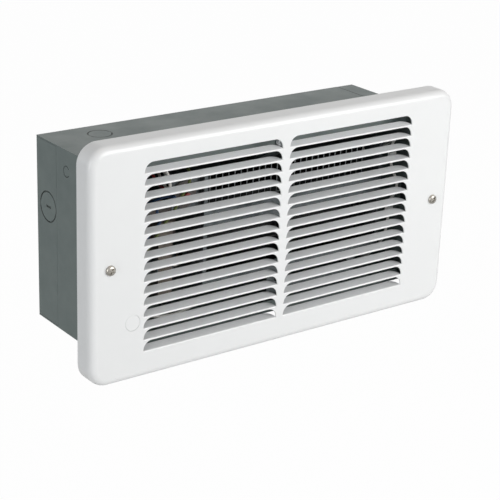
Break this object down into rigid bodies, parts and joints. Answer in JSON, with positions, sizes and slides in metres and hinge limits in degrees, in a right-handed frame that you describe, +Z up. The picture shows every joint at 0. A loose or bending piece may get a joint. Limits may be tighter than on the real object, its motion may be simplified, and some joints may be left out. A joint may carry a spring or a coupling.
{
  "type": "wall fan heater",
  "caption": "Recessed wall fan heater: white louvred steel cover on a grey sheet-steel wall can with a cross-flow blower, its motor and a finned heating element inside.",
  "frame": {"origin": "centre of the wall can's back, on its outer face", "axes": "+X to the right seen from the room, +Y into the wall, +Z up"},
  "size_m": [0.4054, 0.1316, 0.217],
  "materials": {
    "white_enamel": "smooth semi-gloss white baked enamel",
    "grey_paint": "satin bluish grey paint on sheet steel",
    "galvanised_sheet": "dull zinc-coated sheet steel",
    "plated_steel": "bright zinc or nickel plate",
    "element_steel": "oxidised dark steel",
    "wheel_paint": "matt black paint on steel",
    "stator_steel": "brownish grey varnished laminations",
    "coil_copper": "varnished copper winding",
    "bearing_bronze": "plain sintered bronze",
    "white_nylon": "off-white moulded nylon",
    "black_rubber": "matt black rubber",
    "ceramic": "unglazed off-white ceramic",
    "brown_phenolic": "dark brown moulded phenolic",
    "red_plastic": "red plastic",
    "blue_insulation": "dark blue wire insulation",
    "white_insulation": "off-white wire insulation",
    "green_insulation": "green wire insulation with a yellow stripe",
    "green_plating": "green dyed plating"
  },
  "bodies": {
    "can": {"grille_cover": "white_enamel", "thermostat_hole_plug": "white_enamel", "can_body": "grey_paint", "can_right_end": "grey_paint", "can_back": "grey_paint", "grille_bracket_left": "galvanised_sheet", "grille_bracket_right": "galvanised_sheet", "front_panel": "galvanised_sheet", "housing_side_left": "galvanised_sheet", "housing_side_right": "galvanised_sheet", "blower_scroll": "galvanised_sheet", "cutoff_tongue": "galvanised_sheet", "base_angle": "galvanised_sheet", "top_hanger": "galvanised_sheet", "element_support": "galvanised_sheet", "motor_bracket_outer": "galvanised_sheet", "motor_bracket_inner": "galvanised_sheet", "limit_bracket": "galvanised_sheet", "cover_screw_left": "plated_steel", "cover_screw_right": "plated_steel", "wire_guard": "plated_steel", "module_screw": "plated_steel", "motor_screw_front": "plated_steel", "motor_screw_rear": "plated_steel", "motor_spacer_front": "plated_steel", "motor_spacer_rear": "plated_steel", "heating_element": "element_steel", "stator_laminations": "stator_steel", "stator_coil": "coil_copper", "bearing_outer": "bearing_bronze", "bearing_inner": "bearing_bronze", "wheel_bearing": "bearing_bronze", "connector_upper": "white_nylon", "connector_lower": "white_nylon", "bearing_grommet": "black_rubber", "element_bushing_front": "ceramic", "element_bushing_rear": "ceramic", "limit_switch": "brown_phenolic", "coil_bobbin": "brown_phenolic", "wire_nut_line": "brown_phenolic", "wire_nut_neutral": "brown_phenolic", "lead_red": "red_plastic", "lead_blue": "blue_insulation", "lead_white": "white_insulation", "lead_element": "white_insulation", "lead_link": "white_insulation", "lead_return": "white_insulation", "lead_ground": "green_insulation", "ground_screw": "green_plating"},
    "blower": {"blower_wheel": "wheel_paint", "wheel_pin": "plated_steel", "motor_shaft": "plated_steel", "motor_rotor": "stator_steel"},
    "button": {"reset_button": "red_plastic"}
  },
  "joints": [
    {"name": "blower_spin", "type": "hinge", "parent": "can", "child": "blower", "pos_m": [0, -0.057, -0.03], "axis": [1, 0, 0], "continuous": true},
    {"name": "reset_press", "type": "slide", "parent": "can", "child": "button", "axis": [0, 1, 0], "range_m": [0, 0.002], "stiffness_N_per_m": 600, "springref_m": -0.0005}
  ]
}
